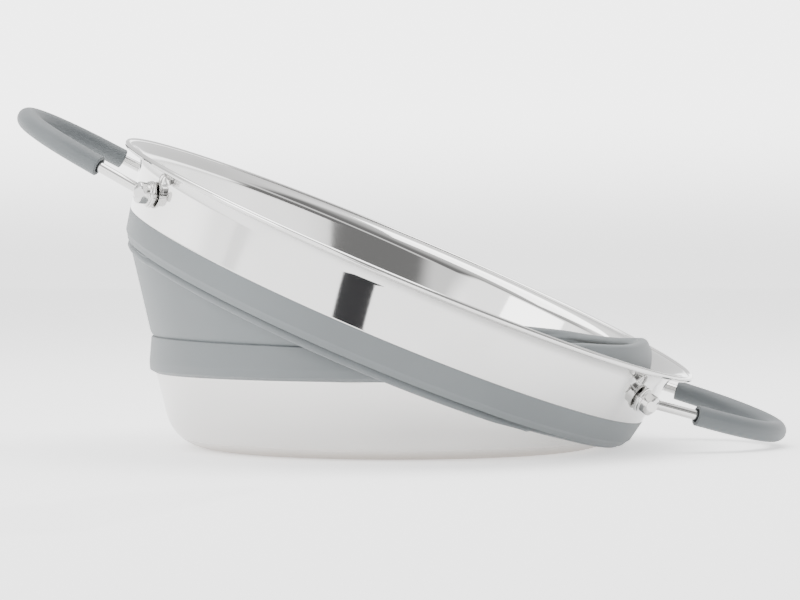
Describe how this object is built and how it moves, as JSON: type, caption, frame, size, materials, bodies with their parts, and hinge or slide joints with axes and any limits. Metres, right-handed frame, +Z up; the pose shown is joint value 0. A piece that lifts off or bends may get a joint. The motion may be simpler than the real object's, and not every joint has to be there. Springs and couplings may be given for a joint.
{
  "type": "collapsible cooking pot",
  "caption": "Round cooking pot with a steel base and steel rim joined by a folding silicone wall, and two folding wire handles with grips.",
  "frame": {"origin": "centre of the flat bottom of the steel base, on the surface that the pot stands on", "axes": "+Z up along the base's axis; +X towards the handle on the low side of the tilted rim, so the handles lie along X when the pot is fully open or folded flat"},
  "size_m": [0.3516, 0.2792, 0.1551],
  "materials": {
    "steel": "satin",
    "polished_steel": "polished",
    "silicone": "matte",
    "grip_silicone": "matte"
  },
  "bodies": {
    "base": {"base_bowl": "steel", "lower_band": "silicone"},
    "fold": {"folding_wall": "silicone"},
    "rim": {"rim_ring": "polished_steel", "upper_band": "silicone", "lug_right_front": "polished_steel", "lug_right_back": "polished_steel", "lug_left_front": "polished_steel", "lug_left_back": "polished_steel"},
    "handle_right": {"handle_wire_right": "polished_steel", "grip_right": "grip_silicone"},
    "handle_left": {"handle_wire_left": "polished_steel", "grip_left": "grip_silicone"}
  },
  "joints": [
    {"name": "fold_down", "type": "hinge", "parent": "base", "child": "fold", "pos_m": [0.09517, -0.0185, 0.05241], "axis": [-0.1908, -0.9816, 0], "range_deg": [0, 23.09], "deforming": ["folding_wall"]},
    {"name": "lift_up", "type": "hinge", "parent": "fold", "child": "rim", "pos_m": [-0.11147, 0.02167, 0.09541], "axis": [-0.1908, -0.9816, 0], "range_deg": [0, 23.09]},
    {"name": "handle_right_hinge", "type": "hinge", "parent": "rim", "child": "handle_right", "pos_m": [0.11126, 0.00178, 0.02623], "axis": [0.015, 0.9971, 0.0748], "range_deg": [0, 95]},
    {"name": "handle_left_hinge", "type": "hinge", "parent": "rim", "child": "handle_left", "pos_m": [-0.11095, -0.00184, 0.11893], "axis": [-0.015, -0.9971, -0.0748], "range_deg": [0, 95]}
  ]
}
